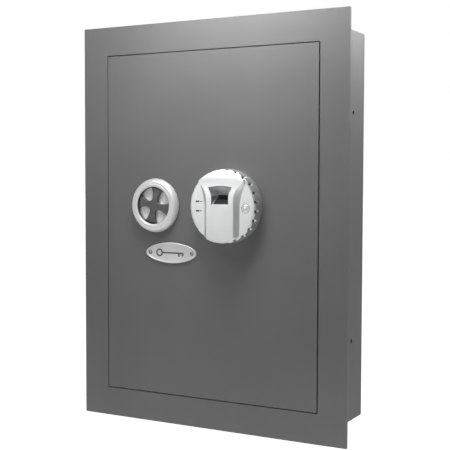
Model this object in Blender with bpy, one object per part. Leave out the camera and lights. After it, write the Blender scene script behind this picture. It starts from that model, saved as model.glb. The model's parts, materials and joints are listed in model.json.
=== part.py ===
"""Wall safe with a fingerprint lock, made as separate pieces joined by working joints.

Metres. +X runs across the front to the right, +Y runs into the wall and +Z is up. The origin is
the middle of the flange's rear face, which lies against the wall, so the front faces -Y.
"""

import math

import bmesh
import bpy
from mathutils import Matrix, Vector

# Gap left between pieces that touch, and between a moving piece and the hole it runs in.
TOUCH = 0.0003
RUN = 0.0005

# Front flange, door opening and box.
FLANGE_W = 0.387
FLANGE_H = 0.527
FLANGE_T = 0.003
FLANGE_R = 0.0008
BORDER = 0.038
OPENING_W = FLANGE_W - 2 * BORDER
OPENING_H = FLANGE_H - 2 * BORDER
BOX_W = 0.350
BOX_H = 0.491
BOX_D = 0.094
BOX_R = 0.0022
SHEET = 0.002
SIDE_HOLE_R = 0.0028
SIDE_HOLE_Y = 0.057
SIDE_HOLE_Z = 0.143

# Door plate, the mechanism rim behind it and the cover over the mechanism.
GAP_LATCH = 0.0012
GAP_HINGE = 0.0016
DOOR_LEFT = -OPENING_W / 2 + GAP_LATCH
DOOR_RIGHT = OPENING_W / 2 - GAP_HINGE
DOOR_HALF_H = OPENING_H / 2 - GAP_LATCH
FRONT = -FLANGE_T
RIM_HALF_W = 0.1495
RIM_HALF_H = 0.203
RIM_DEPTH = 0.030
RIM_SHEET = 0.0015
COVER_Y = RIM_DEPTH + TOUCH
COVER_BACK = COVER_Y + RIM_SHEET

# Hinge pins, one above and one below the door, on one upright axis.
HINGE_X = 0.130
HINGE_Y = 0.0045
PIN_R = 0.002
PIN_TOP = 0.232
BRACKET_LOW = 0.226
BRACKET_T = 0.003

# Bolts, their bar and the crank that drives them.
BOLT_R = 0.0075
BOLT_Y = 0.0135
BOLT_Z = 0.140
BOLT_TIP = -0.1505
BAR_X = -0.112
BAR_T = 0.003
BAR_HALF_H = 0.155
KNOB_X = -0.0774
KNOB_Z = 0.0252
GRIP_R = 0.0240
GRIP_LEAN = math.radians(13)
ARM_HALF_W = 0.0029
ARM_FLARE = 0.0045
CRANK_THROW = 0.0106
CRANK_PIN_R = 0.003
CRANK_Y = 0.011
DRIVE_Y = 0.016
DRIVE_T = 0.002
DRIVE_LOW = 0.012
BOLT_TRAVEL = 0.015

# Solenoid that locks the drive plate.
SOLENOID_X = -0.088
SOLENOID_Y = DRIVE_Y + DRIVE_T / 2
PLUNGER_R = 0.003
PLUNGER_TIP = 0.0095
COLLAR_LOW = 0.0035
FRAME_LOW = -0.038
FRAME_TOP = -0.005

# Fingerprint unit.
UNIT_X = 0.032
UNIT_Z = 0.026
UNIT_R = 0.047
FACE_R = 0.0435
FACE_H = 0.019
HOOD_H = 0.025
NOTCHES = 24
WINDOW_HALF_W = 0.0165
RAMP_START = 0.0005
RAMP_END = 0.017
RAMP_FLOOR = 0.0029
WINDOW_TOP = 0.0255
GLASS_W = 0.0226
GLASS_L = 0.0186
GLASS_T = 0.0012
BUTTON_X = 0.0335
BUTTON_Z = -0.002
BUTTON_R = 0.006

# Nameplate and the emergency key lock hidden behind it.
PLATE_X = -0.0536
PLATE_Z = -0.0368
PLATE_HALF_W = 0.0387
PLATE_HALF_H = 0.0137
PLATE_SCREW = 0.0318
LOCK_R = 0.009
PLUG_R = 0.0055

# Battery box behind the inner cover.
CELL_R = 0.0071
CELL_L = 0.0502
CELL_PITCH = 0.0156
CELLS = 4
BATTERY_X = 0.087
BATTERY_Z = -0.087
BATTERY_WALL = 0.0015

# Shelves.
SHELF_Z = 0.075
SHELF_FRONT = 0.045
SHELF_T = 0.0015
SHELF_LIP = 0.012


# ---------------------------------------------------------------- outlines in a flat plane


def rectangle(low_u, low_v, high_u, high_v):
    return [(low_u, low_v), (high_u, low_v), (high_u, high_v), (low_u, high_v)]


def rounded_rectangle(width, height, radius, steps=4, x=0.0, z=0.0):
    """A rectangle with round corners, centred on (x, z)."""
    points = []
    for corner in range(4):
        turn = math.pi / 2 * corner
        sign_x = 1 if corner in (0, 3) else -1
        sign_z = 1 if corner in (0, 1) else -1
        centre_x = x + sign_x * (width / 2 - radius)
        centre_z = z + sign_z * (height / 2 - radius)
        for i in range(steps + 1):
            angle = turn + math.pi / 2 * i / steps
            points.append((centre_x + radius * math.cos(angle), centre_z + radius * math.sin(angle)))
    return points


def pointed_oval(x, z, half_w, half_h, power, count):
    """An oval a little more pointed at its ends than an ellipse."""
    points = []
    for i in range(count):
        angle = 2 * math.pi * i / count
        across = math.cos(angle)
        up = math.sin(angle)
        u = math.copysign(abs(across) ** (2 / power), across)
        v = math.copysign(abs(up) ** (2 / power), up)
        points.append((x + half_w * u, z + half_h * v))
    return points


def notched_circle(x, z, radius, notch_radius, count):
    """A circle with small round notches bitten out of its edge."""
    points = []
    pitch = 2 * math.pi / count
    half = notch_radius / radius
    for i in range(count):
        middle = i * pitch
        for k in range(4):
            angle = middle - pitch / 2 + half + (pitch - 2 * half) * k / 3
            points.append((x + radius * math.cos(angle), z + radius * math.sin(angle)))
        bite = middle + pitch / 2
        for k in (1, 2, 3):
            sweep = math.pi * k / 4
            depth = notch_radius * math.sin(sweep)
            angle = bite - half * math.cos(sweep)
            inner = radius - depth
            points.append((x + inner * math.cos(angle), z + inner * math.sin(angle)))
    return points


# ---------------------------------------------------------------- solids


def prism(outline, axis, low, high):
    """An outline pushed along an axis. Its points are (y, z) for X, (x, z) for Y and (x, y) for Z."""
    place = {
        "X": lambda u, v, w: (w, u, v),
        "Y": lambda u, v, w: (u, w, v),
        "Z": lambda u, v, w: (u, v, w),
    }[axis]
    bm = bmesh.new()
    near = [bm.verts.new(place(u, v, low)) for u, v in outline]
    far = [bm.verts.new(place(u, v, high)) for u, v in outline]
    bm.faces.new(near)
    bm.faces.new(reversed(far))
    count = len(outline)
    for i in range(count):
        j = (i + 1) % count
        bm.faces.new((near[i], far[i], far[j], near[j]))
    return bm


def block(low, high):
    """A box between two corners."""
    return prism(rectangle(low[0], low[1], high[0], high[1]), "Z", low[2], high[2])


def turned(profile, centre, direction, segments):
    """A profile of (radius, height) turned round an axis through centre, height along direction.

    A profile that starts and ends on the axis closes itself. Any other is a ring's closed loop.
    """
    axis = Vector(direction).normalized()
    side = Vector((0, 0, 1)) if abs(axis.z) < 0.9 else Vector((1, 0, 0))
    across = axis.cross(side).normalized()
    up = axis.cross(across)
    bm = bmesh.new()
    rings = []
    for radius, height in profile:
        base = Vector(centre) + axis * height
        if radius == 0:
            rings.append([bm.verts.new(base)])
            continue
        ring = []
        for i in range(segments):
            angle = 2 * math.pi * (i + 0.5) / segments
            ring.append(bm.verts.new(base + radius * (across * math.cos(angle) + up * math.sin(angle))))
        rings.append(ring)
    pairs = list(zip(rings, rings[1:]))
    if profile[0][0] != 0:
        pairs.append((rings[-1], rings[0]))
    for first, second in pairs:
        for i in range(segments):
            j = (i + 1) % segments
            near = (first[i % len(first)], first[j % len(first)])
            far = (second[j % len(second)], second[i % len(second)])
            bm.faces.new(list(dict.fromkeys(near + far)))
    return bm


def rod(centre, direction, radius, low, high, segments=24, chamfer=0.0):
    """A round bar from height low to height high, with its two edges chamfered."""
    inner = radius - chamfer
    profile = [(0, low), (radius, low), (radius, high), (0, high)]
    if chamfer:
        profile[1:3] = [(inner, low), (radius, low + chamfer), (radius, high - chamfer), (inner, high)]
    return turned(profile, centre, direction, segments)


def coil(centre, radius, wire, low, high, turns, steps, sides):
    """A round wire wound up the Z axis, its two ends capped."""
    bm = bmesh.new()
    rings = []
    count = turns * steps
    for i in range(count + 1):
        angle = 2 * math.pi * i / steps
        out = Vector((math.cos(angle), math.sin(angle), 0))
        height = low + wire + (high - low - 2 * wire) * i / count
        middle = Vector((centre[0], centre[1], height)) + out * radius
        ring = []
        for k in range(sides):
            turn = 2 * math.pi * k / sides
            lift = Vector((0, 0, wire * math.sin(turn)))
            ring.append(bm.verts.new(middle + out * wire * math.cos(turn) + lift))
        rings.append(ring)
    for first, second in zip(rings, rings[1:]):
        for k in range(sides):
            j = (k + 1) % sides
            bm.faces.new((first[k], first[j], second[j], second[k]))
    bm.faces.new(rings[0])
    bm.faces.new(rings[-1])
    return bm


# ---------------------------------------------------------------- objects, materials, joints

LOOKS = {
    "painted_steel": ((0.16, 0.16, 0.165), 0.45, 0.3),
    "bare_steel": ((0.55, 0.55, 0.56), 0.35, 1.0),
    "zinc_steel": ((0.62, 0.62, 0.60), 0.4, 0.9),
    "satin_chrome": ((0.80, 0.80, 0.80), 0.25, 1.0),
    "silver_plastic": ((0.72, 0.73, 0.74), 0.4, 0.2),
    "grey_plastic": ((0.16, 0.16, 0.17), 0.5, 0.0),
    "black_plastic": ((0.03, 0.03, 0.03), 0.5, 0.0),
    "sensor_glass": ((0.02, 0.02, 0.03), 0.1, 0.0),
    "red_lens": ((0.30, 0.04, 0.03), 0.2, 0.0),
    "green_lens": ((0.04, 0.22, 0.06), 0.2, 0.0),
    "circuit_green": ((0.02, 0.18, 0.07), 0.5, 0.0),
    "copper_coil": ((0.45, 0.20, 0.08), 0.4, 0.6),
    "cell_jacket": ((0.10, 0.11, 0.13), 0.35, 0.2),
    "brass": ((0.66, 0.50, 0.22), 0.3, 1.0),
    "cable_jacket": ((0.05, 0.05, 0.05), 0.6, 0.0),
}


def material(look):
    found = bpy.data.materials.get(look)
    if found:
        return found
    color, roughness, metallic = LOOKS[look]
    made = bpy.data.materials.new(look)
    made.use_nodes = True
    shader = made.node_tree.nodes["Principled BSDF"]
    shader.inputs["Base Color"].default_value = (*color, 1.0)
    shader.inputs["Roughness"].default_value = roughness
    shader.inputs["Metallic"].default_value = metallic
    return made


def holder(name, place, parent=None):
    """An empty on a joint's axis, which the pieces that move on that joint hang from."""
    empty = bpy.data.objects.new(name, None)
    bpy.context.collection.objects.link(empty)
    empty.location = place
    if parent:
        empty.parent = parent
        empty.matrix_parent_inverse = world_of(parent).inverted()
    return empty


def world_of(empty):
    """A holder's place in the world. The bpy matrix is only filled in after the next update."""
    return Matrix.Translation(empty.location)


def piece(name, bm, look, parent=None, sharp_degrees=35):
    """Turn a mesh in world coordinates into a named object with a material."""
    bmesh.ops.recalc_face_normals(bm, faces=bm.faces)
    mesh = bpy.data.meshes.new(name)
    bm.to_mesh(mesh)
    bm.free()
    mesh.materials.append(material(look))
    mesh.shade_smooth()
    mesh.set_sharp_from_angle(angle=math.radians(sharp_degrees))
    made = bpy.data.objects.new(name, mesh)
    bpy.context.collection.objects.link(made)
    if parent:
        made.parent = parent
        made.matrix_parent_inverse = world_of(parent).inverted()
    return made


def combine(target, tool_bm, name, operation="DIFFERENCE"):
    """Cut a tool out of an object, or join it on, with a Boolean modifier."""
    bmesh.ops.recalc_face_normals(tool_bm, faces=tool_bm.faces)
    mesh = bpy.data.meshes.new(name)
    tool_bm.to_mesh(mesh)
    tool_bm.free()
    tool = bpy.data.objects.new(name, mesh)
    bpy.context.collection.objects.link(tool)
    tool.hide_render = True
    tool.display_type = "WIRE"
    change = target.modifiers.new(name, "BOOLEAN")
    change.operation = operation
    change.solver = "EXACT"
    change.object = tool


def cable(name, route, radius, look, parent):
    """A tube along a smooth curve through the route's points."""
    points = smooth_path(route, 8)
    curve = bpy.data.curves.new(name, "CURVE")
    curve.dimensions = "3D"
    curve.bevel_depth = radius
    curve.bevel_resolution = 2
    curve.use_fill_caps = True
    spline = curve.splines.new("POLY")
    spline.points.add(len(points) - 1)
    for point, place in zip(spline.points, points):
        point.co = (*place, 1.0)
    curve.materials.append(material(look))
    made = bpy.data.objects.new(name, curve)
    bpy.context.collection.objects.link(made)
    made.parent = parent
    made.matrix_parent_inverse = world_of(parent).inverted()


def smooth_path(route, steps):
    """Points on a Catmull-Rom curve through the route."""
    ends = [Vector(p) for p in route]
    knots = [2 * ends[0] - ends[1], *ends, 2 * ends[-1] - ends[-2]]
    points = []
    for i in range(1, len(knots) - 2):
        before, start, end, after = knots[i - 1 : i + 3]
        for k in range(steps):
            t = k / steps
            bend = 2 * before - 5 * start + 4 * end - after
            twist = -before + 3 * start - 3 * end + after
            points.append(0.5 * (2 * start + (end - before) * t + bend * t**2 + twist * t**3))
    points.append(ends[-1])
    return points


# ---------------------------------------------------------------- the body that goes in the wall


def make_shell():
    flange = piece(
        "front_flange",
        prism(rounded_rectangle(FLANGE_W, FLANGE_H, FLANGE_R), "Y", FRONT, 0),
        "painted_steel",
    )
    opening = rounded_rectangle(OPENING_W, OPENING_H, 0.001, 2)
    combine(flange, prism(opening, "Y", -0.01, 0.01), "cut_opening")
    seat = rounded_rectangle(BOX_W + 2 * TOUCH, BOX_H + 2 * TOUCH, BOX_R + TOUCH)
    combine(flange, prism(seat, "Y", -TOUCH, 0.01), "cut_box_seat")

    rear = BOX_D - SHEET - TOUCH
    outline = rounded_rectangle(BOX_W, BOX_H, BOX_R)
    shell = piece("box_shell", prism(outline, "Y", 0, rear), "painted_steel")
    inside = rounded_rectangle(BOX_W - 2 * SHEET, BOX_H - 2 * SHEET, BOX_R - SHEET + 0.0005)
    combine(shell, prism(inside, "Y", -0.01, BOX_D + 0.01), "cut_inside")
    for row, height in (("low", -SIDE_HOLE_Z), ("high", SIDE_HOLE_Z)):
        drill = rod((0, SIDE_HOLE_Y, height), (1, 0, 0), SIDE_HOLE_R, -BOX_W, BOX_W, 16)
        combine(shell, drill, "drill_side_" + row)

    piece("back_panel", prism(outline, "Y", BOX_D - SHEET, BOX_D), "painted_steel")


def make_latch_side():
    """The strike plate that the bolts shoot through, and the two stops that the door closes on."""
    left = -BOX_W / 2 + SHEET + 0.001
    plate_x = -OPENING_W / 2 - RUN
    angle = [
        (left, TOUCH),
        (plate_x, TOUCH),
        (plate_x, 0.034),
        (plate_x - SHEET, 0.034),
        (plate_x - SHEET, TOUCH + SHEET),
        (left, TOUCH + SHEET),
    ]
    strike = piece("strike_plate", prism(angle, "Z", -0.165, 0.165), "zinc_steel")
    half = BOLT_R + 0.0012
    for row, height in (("low", -BOLT_Z), ("high", BOLT_Z)):
        window = rectangle(BOLT_Y - half, height - half, BOLT_Y + half, height + half)
        combine(strike, prism(window, "X", plate_x - 0.008, plate_x + 0.008), "cut_bolt_window_" + row)
    for row, sign in (("upper", 1), ("lower", -1)):
        middle = 0.195 * sign
        low = (left, RUN, middle - 0.009)
        high = (-0.1525, RUN + 0.0025, middle + 0.009)
        piece("door_stop_" + row, block(low, high), "black_plastic")


def make_hinge_brackets():
    """Angle brackets behind the flange. Each holds the free end of a hinge pin."""
    ceiling = BOX_H / 2 - SHEET - TOUCH
    for row, sign in (("upper", 1), ("lower", -1)):
        angle = [
            (0.0004, sign * BRACKET_LOW),
            (0.026, sign * BRACKET_LOW),
            (0.026, sign * ceiling),
            (0.023, sign * ceiling),
            (0.023, sign * (BRACKET_LOW + BRACKET_T)),
            (0.0004, sign * (BRACKET_LOW + BRACKET_T)),
        ]
        length = prism(angle, "X", HINGE_X - 0.012, HINGE_X + 0.012)
        bracket = piece("hinge_bracket_" + row, length, "zinc_steel")
        drill = rod((HINGE_X, HINGE_Y, 0), (0, 0, sign), PIN_R + 0.00035, 0.22, 0.235, 24)
        combine(bracket, drill, "drill_bracket_" + row)


def make_shelves():
    half = BOX_W / 2 - SHEET - 0.002
    wall = BOX_W / 2 - SHEET - TOUCH
    rear = BOX_D - SHEET - RUN
    for row, height in (("upper", SHELF_Z), ("lower", -SHELF_Z)):
        tray = [
            (SHELF_FRONT, height),
            (rear, height),
            (rear, height - SHELF_T),
            (SHELF_FRONT + SHELF_T, height - SHELF_T),
            (SHELF_FRONT + SHELF_T, height - SHELF_LIP),
            (SHELF_FRONT, height - SHELF_LIP),
        ]
        piece("shelf_" + row, prism(tray, "X", -half, half), "painted_steel")
        under = height - SHELF_T - TOUCH
        for side, sign in (("left", -1), ("right", 1)):
            angle = [
                (sign * wall, under),
                (sign * wall, under - 0.015),
                (sign * (wall - SHELF_T), under - 0.015),
                (sign * (wall - SHELF_T), under - SHELF_T),
                (sign * (wall - 0.012), under - SHELF_T),
                (sign * (wall - 0.012), under),
            ]
            piece("shelf_bracket_%s_%s" % (row, side), prism(angle, "Y", 0.050, 0.088), "zinc_steel")


# ---------------------------------------------------------------- the door


def make_door(door):
    outline = rectangle(DOOR_LEFT, -DOOR_HALF_H, DOOR_RIGHT, DOOR_HALF_H)
    plate = piece("door_plate", prism(outline, "Y", FRONT, 0), "painted_steel", door)
    holes = (
        ("spindle", KNOB_X, KNOB_Z, 0.005),
        ("key_lock", PLATE_X, PLATE_Z, LOCK_R + TOUCH),
        ("scanner_wiring", UNIT_X, UNIT_Z - 0.015, 0.010),
    )
    for name, x, z, radius in holes:
        combine(plate, rod((x, 0, z), (0, 1, 0), radius, -0.01, 0.01, 24), "drill_" + name)

    rim = piece(
        "mechanism_rim",
        prism(rounded_rectangle(2 * RIM_HALF_W, 2 * RIM_HALF_H, 0.003, 3), "Y", TOUCH, RIM_DEPTH),
        "painted_steel",
        door,
    )
    inner_w = 2 * (RIM_HALF_W - RIM_SHEET)
    inner_h = 2 * (RIM_HALF_H - RIM_SHEET)
    combine(rim, prism(rounded_rectangle(inner_w, inner_h, 0.0015, 3), "Y", -0.01, 0.05), "cut_rim_inside")
    for row, height in (("low", -BOLT_Z), ("high", BOLT_Z)):
        drill = rod((-RIM_HALF_W, BOLT_Y, height), (1, 0, 0), BOLT_R + RUN, -0.005, 0.005, 24)
        combine(rim, drill, "drill_rim_" + row)

    cover = piece(
        "inner_cover",
        prism(rounded_rectangle(2 * RIM_HALF_W, 2 * RIM_HALF_H, 0.003, 3), "Y", COVER_Y, COVER_BACK),
        "painted_steel",
        door,
    )
    hatch = rounded_rectangle(0.060, 0.054, 0.002, 2, BATTERY_X, BATTERY_Z)
    combine(cover, prism(hatch, "Y", 0.02, 0.04), "cut_hatch")
    combine(cover, rod((BATTERY_X, 0, -0.035), (0, 1, 0), 0.0044, 0.02, 0.04, 20), "drill_program_button")

    bar = block((RIM_HALF_W + TOUCH, 0.006, -0.15), (0.164, 0.009, 0.15))
    piece("hinge_side_bar", bar, "zinc_steel", door)


def make_door_hinges(door):
    """The pins and the blocks behind the door plate that hold them."""
    for row, sign in (("upper", 1), ("lower", -1)):
        low = 0.205
        high = 0.221
        corners = (HINGE_X - 0.009, HINGE_X + 0.009)
        outline = rectangle(corners[0], 0.0004, corners[1], 0.010)
        body = prism(outline, "Z", sign * low, sign * high)
        holder_block = piece("hinge_block_" + row, body, "zinc_steel", door)
        drill = rod((HINGE_X, HINGE_Y, 0), (0, 0, sign), PIN_R + TOUCH, low + 0.003, high + 0.01, 24)
        combine(holder_block, drill, "drill_block_" + row)
        pin = rod((HINGE_X, HINGE_Y, 0), (0, 0, sign), PIN_R, low + 0.0034, PIN_TOP, 24, 0.0004)
        piece("hinge_pin_" + row, pin, "bare_steel", door)


def make_bolts(carriage):
    """Two bolts on one upright bar, and the drive plate that the knob's crank pin moves."""
    bar = rectangle(BAR_X, 0.006, BAR_X + BAR_T, 0.021)
    piece("bolt_bar", prism(bar, "Z", -BAR_HALF_H, BAR_HALF_H), "zinc_steel", carriage)
    for row, sign in (("upper", 1), ("lower", -1)):
        profile = [
            (0, BOLT_TIP),
            (BOLT_R - 0.002, BOLT_TIP),
            (BOLT_R, BOLT_TIP + 0.002),
            (BOLT_R, BAR_X - TOUCH),
            (0, BAR_X - TOUCH),
        ]
        bolt = turned(profile, (0, BOLT_Y, sign * BOLT_Z), (1, 0, 0), 32)
        piece("locking_bolt_" + row, bolt, "bare_steel", carriage)

    low_x = BAR_X + BAR_T + TOUCH
    plate = rectangle(low_x, DRIVE_LOW, -0.062, 0.048)
    drive = piece("drive_plate", prism(plate, "Y", DRIVE_Y, DRIVE_Y + DRIVE_T), "zinc_steel", carriage)
    pin_x = KNOB_X + CRANK_THROW * math.sin(math.pi / 4)
    half = CRANK_PIN_R + 0.0006
    slot = rectangle(pin_x - half, KNOB_Z + 0.0035, pin_x + half, KNOB_Z + 0.0150)
    combine(drive, prism(slot, "Y", 0.01, 0.03), "cut_crank_slot")
    for name, x in (("open", SOLENOID_X), ("shut", SOLENOID_X + BOLT_TRAVEL)):
        half = PLUNGER_R + 0.0006
        notch = rectangle(x - half, DRIVE_LOW - 0.002, x + half, DRIVE_LOW + 0.0045)
        combine(drive, prism(notch, "Y", 0.01, 0.03), "cut_plunger_notch_" + name)


def make_bolt_guides(door):
    for row, sign in (("upper", 1), ("lower", -1)):
        middle = sign * BOLT_Z
        guide = piece(
            "bolt_guide_" + row,
            block((-0.145, 0.0004, middle - 0.013), (-0.135, 0.0235, middle + 0.013)),
            "black_plastic",
            door,
        )
        drill = rod((-0.14, BOLT_Y, middle), (1, 0, 0), BOLT_R + RUN, -0.01, 0.01, 24)
        combine(guide, drill, "drill_guide_" + row)


def cross_outline():
    """A cross with four arms that widen outwards, round inner corners and a slight clockwise lean."""
    points = []
    corner = 0.0052
    inner = ARM_HALF_W + corner
    end = GRIP_R + 0.002
    for arm in range(4):
        turn = math.pi / 2 * arm - GRIP_LEAN
        edge = []
        for i in range(6):
            edge.append((inner + (end - inner) * i / 5, ARM_HALF_W + ARM_FLARE * (i / 5) ** 1.7))
        bend = []
        for i in range(1, 5):
            angle = math.radians(270 - 90 * i / 5)
            bend.append((inner + corner * math.cos(angle), inner + corner * math.sin(angle)))
        for u, v in [(u, -v) for u, v in edge] + edge[::-1] + bend:
            x = KNOB_X + u * math.cos(turn) - v * math.sin(turn)
            z = KNOB_Z + u * math.sin(turn) + v * math.cos(turn)
            points.append((x, z))
    return points


def make_knob(door, knob):
    """The round turning knob, its cross grip, and the spindle and crank behind the door."""
    centre = (KNOB_X, FRONT, KNOB_Z)
    out = (0, -1, 0)
    body_profile = [
        (0, 0.0018),
        (0.0043, 0.0018),
        (0.0043, 0.0004),
        (0.0354, 0.0004),
        (0.0356, 0.0012),
        (0.0350, 0.0040),
        (0.0334, 0.0072),
        (0.0310, 0.0094),
        (0.0285, 0.0095),
        (0.0262, 0.0092),
        (0.0247, 0.0086),
        (0.0245, 0.0044),
        (0, 0.0044),
    ]
    body = piece("knob_body", turned(body_profile, centre, out, 48), "satin_chrome", knob)
    grip_profile = [(0, 0.0047), (GRIP_R, 0.0047), (GRIP_R, 0.0062), (GRIP_R - 0.0008, 0.0068), (0, 0.0073)]
    grip = piece("knob_grip", turned(grip_profile, centre, out, 48), "grey_plastic", knob)
    combine(grip, prism(cross_outline(), "Y", -0.02, 0.0), "shape_grip_arms", "INTERSECT")
    scoop = [
        (0, 0.0015),
        (0.0040, 0.0019),
        (0.0075, 0.0032),
        (0.0088, 0.0044),
        (0.0088, 0.006),
        (0, 0.006),
    ]
    for i in range(4):
        angle = math.pi / 4 + math.pi / 2 * i - GRIP_LEAN
        x = KNOB_X + 0.0155 * math.cos(angle)
        z = KNOB_Z + 0.0155 * math.sin(angle)
        combine(body, turned(scoop, (x, FRONT, z), out, 20), "cut_scoop_%d" % (i + 1))

    spindle = rod((KNOB_X, 0, KNOB_Z), (0, 1, 0), 0.004, FRONT - 0.0015, CRANK_Y - TOUCH, 24)
    piece("knob_spindle", spindle, "bare_steel", knob)
    disc = rod((KNOB_X, 0, KNOB_Z), (0, 1, 0), 0.015, CRANK_Y, CRANK_Y + 0.003, 32)
    crank = piece("knob_crank", disc, "zinc_steel", knob)
    side = CRANK_THROW * math.sin(math.pi / 4)
    pin = rod((KNOB_X + side, 0, KNOB_Z + side), (0, 1, 0), CRANK_PIN_R, CRANK_Y + 0.001, 0.020, 20)
    combine(crank, pin, "join_crank_pin", "UNION")

    bush = [(0.0044, 0.0004), (0.009, 0.0004), (0.009, 0.0085), (0.0044, 0.0085)]
    piece("knob_bush", turned(bush, (KNOB_X, 0, KNOB_Z), (0, 1, 0), 24), "brass", door)


def make_solenoid(door, plunger):
    """A solenoid under the drive plate. Its plunger pushes up into a notch in the plate."""
    centre = (SOLENOID_X, SOLENOID_Y, 0)
    half = 0.0115
    wall = 0.0015
    frame = piece(
        "solenoid_frame",
        block((SOLENOID_X - half, 0.0085, FRAME_LOW), (SOLENOID_X + half, 0.0255, FRAME_TOP)),
        "zinc_steel",
        door,
    )
    inner = half - wall
    window = rectangle(SOLENOID_X - inner, FRAME_LOW + wall, SOLENOID_X + inner, FRAME_TOP - wall)
    combine(frame, prism(window, "Y", 0, 0.03), "cut_solenoid_window")
    combine(frame, rod(centre, (0, 0, 1), PLUNGER_R + 0.0004, -0.05, 0.01, 20), "drill_solenoid_frame")
    low = FRAME_LOW + wall + TOUCH
    high = FRAME_TOP - wall - TOUCH
    bore = PLUNGER_R + 0.0004
    bobbin = [(bore, low), (0.0083, low), (0.0083, high), (bore, high)]
    piece("solenoid_coil", turned(bobbin, centre, (0, 0, 1), 24), "copper_coil", door)
    spring = coil(centre, 0.0042, 0.0005, FRAME_TOP + TOUCH, COLLAR_LOW - TOUCH, 5, 10, 5)
    piece("plunger_spring", spring, "bare_steel", door)
    profile = [
        (0, FRAME_LOW - 0.006),
        (PLUNGER_R, FRAME_LOW - 0.006),
        (PLUNGER_R, COLLAR_LOW),
        (0.0052, COLLAR_LOW),
        (0.0052, COLLAR_LOW + 0.0015),
        (PLUNGER_R, COLLAR_LOW + 0.0015),
        (PLUNGER_R, PLUNGER_TIP),
        (0, PLUNGER_TIP),
    ]
    piece("solenoid_plunger", turned(profile, centre, (0, 0, 1), 20), "bare_steel", plunger)


def make_key_lock(door, plug):
    """The emergency key lock. Its face is flush with the door, behind the nameplate."""
    centre = (PLATE_X, 0, PLATE_Z)
    inward = (0, 1, 0)
    barrel = [(PLUG_R + 0.0004, FRONT), (LOCK_R, FRONT), (LOCK_R, 0.019), (PLUG_R + 0.0004, 0.019)]
    piece("key_lock_barrel", turned(barrel, centre, inward, 32), "brass", door)
    core = piece("key_lock_plug", rod(centre, inward, PLUG_R, FRONT + 0.0001, 0.0195, 24), "brass", plug)
    keyway = rectangle(PLATE_X - 0.0006, PLATE_Z - 0.0035, PLATE_X + 0.0006, PLATE_Z + 0.0035)
    combine(core, prism(keyway, "Y", FRONT - 0.002, 0.012), "cut_keyway")
    arm = [
        (PLATE_X - 0.005, PLATE_Z + 0.005),
        (PLATE_X - 0.005, PLATE_Z - 0.014),
        (PLATE_X - 0.003, PLATE_Z - 0.020),
        (PLATE_X + 0.003, PLATE_Z - 0.020),
        (PLATE_X + 0.005, PLATE_Z - 0.014),
        (PLATE_X + 0.005, PLATE_Z + 0.005),
    ]
    piece("key_lock_cam", prism(arm, "Y", 0.0198, 0.0218), "zinc_steel", plug)

    back = FRONT - TOUCH
    oval = pointed_oval(PLATE_X, PLATE_Z, PLATE_HALF_W, PLATE_HALF_H, 1.85, 56)
    plate = piece("nameplate", prism(oval, "Y", back - 0.0020, back), "satin_chrome", door)
    for name, sign in (("left", -1), ("right", 1)):
        x = PLATE_X + sign * PLATE_SCREW
        combine(plate, rod((x, 0, PLATE_Z), (0, 1, 0), 0.0023, -0.01, 0.0, 16), "drill_nameplate_" + name)
        screw = rod((x, 0, PLATE_Z), (0, 1, 0), 0.0019, back - 0.0024, back, 16)
        piece("nameplate_screw_" + name, screw, "bare_steel", door)


def ramp_frame():
    """The middle of the fingerprint glass, the ramp's direction and its outward normal, in Y and Z."""
    rise = RAMP_END - RAMP_START
    depth = HOOD_H - RAMP_FLOOR
    along = Vector((0, depth, rise)).normalized()
    normal = Vector((0, -rise, depth)).normalized()
    middle_z = 0.0085
    height = HOOD_H - (middle_z - RAMP_START) * depth / rise
    return Vector((UNIT_X, FRONT - height, UNIT_Z + middle_z)), along, normal


def slab_on_ramp(width, length, top, bottom):
    """A slab lying in the ramp, between two heights above the ramp's surface."""
    middle, along, normal = ramp_frame()
    across = Vector((1, 0, 0))
    bm = bmesh.new()
    levels = []
    for height in (bottom, top):
        ring = []
        for u, v in rectangle(-width / 2, -length / 2, width / 2, length / 2):
            ring.append(bm.verts.new(middle + across * u + along * v + normal * height))
        levels.append(ring)
    bm.faces.new(levels[0])
    bm.faces.new(reversed(levels[1]))
    for i in range(4):
        j = (i + 1) % 4
        bm.faces.new((levels[0][i], levels[1][i], levels[1][j], levels[0][j]))
    return bm


def hood_outline(inset):
    """Half the hood's outline, mirrored: straight sides below, flared like a fan above."""
    flare_from = 0.006
    top = 0.050
    half = 0.0250 - inset
    right = [(half, -0.050), (half, flare_from)]
    for i in range(1, 9):
        t = i / 8
        right.append((half + 0.022 * t**2, flare_from + (top - flare_from) * t))
    left = [(-x, z) for x, z in reversed(right)]
    return [(UNIT_X + x, UNIT_Z + z) for x, z in right + left]


def hood_solid():
    """The raised hood: its top is inset from its foot, so that its sides slope at 45 degrees."""
    bm = bmesh.new()
    foot = [bm.verts.new((x, FRONT - FACE_H + 0.001, z)) for x, z in hood_outline(-0.001)]
    top = [bm.verts.new((x, FRONT - HOOD_H, z)) for x, z in hood_outline(0.006)]
    count = len(foot)
    bm.faces.new(foot)
    bm.faces.new(reversed(top))
    for i in range(count):
        j = (i + 1) % count
        bm.faces.new((foot[i], foot[j], top[j], top[i]))
    return bm


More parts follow.
